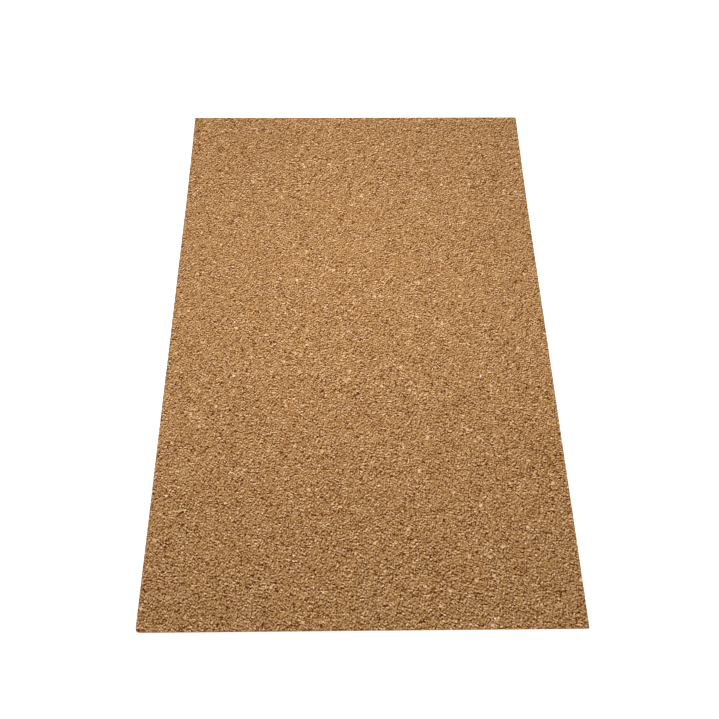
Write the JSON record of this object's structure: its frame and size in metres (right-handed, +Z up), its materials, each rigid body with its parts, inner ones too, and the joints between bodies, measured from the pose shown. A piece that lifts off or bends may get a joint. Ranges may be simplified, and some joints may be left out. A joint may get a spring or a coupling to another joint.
{
  "type": "desk mat",
  "caption": "Thin rectangular granulated-cork desk mat with a non-slip natural-rubber base, laid flat on a desk.",
  "frame": {"origin": "centre of the underside, on the desk surface", "axes": "+X along the short side, +Y along the long side away from the user, +Z up from the desk"},
  "size_m": [0.4, 0.64, 0.0025],
  "materials": {
    "granulated_cork": "matte, open granular surface of 1 to 2 mm cork granules",
    "hot_melt_film": "thin translucent amber adhesive, dull",
    "natural_rubber": "matte, fine pebbled grip texture"
  },
  "bodies": {
    "root": {"cork_face": "granulated_cork", "bonding_film": "hot_melt_film", "rubber_backing": "natural_rubber"}
  },
  "joints": []
}
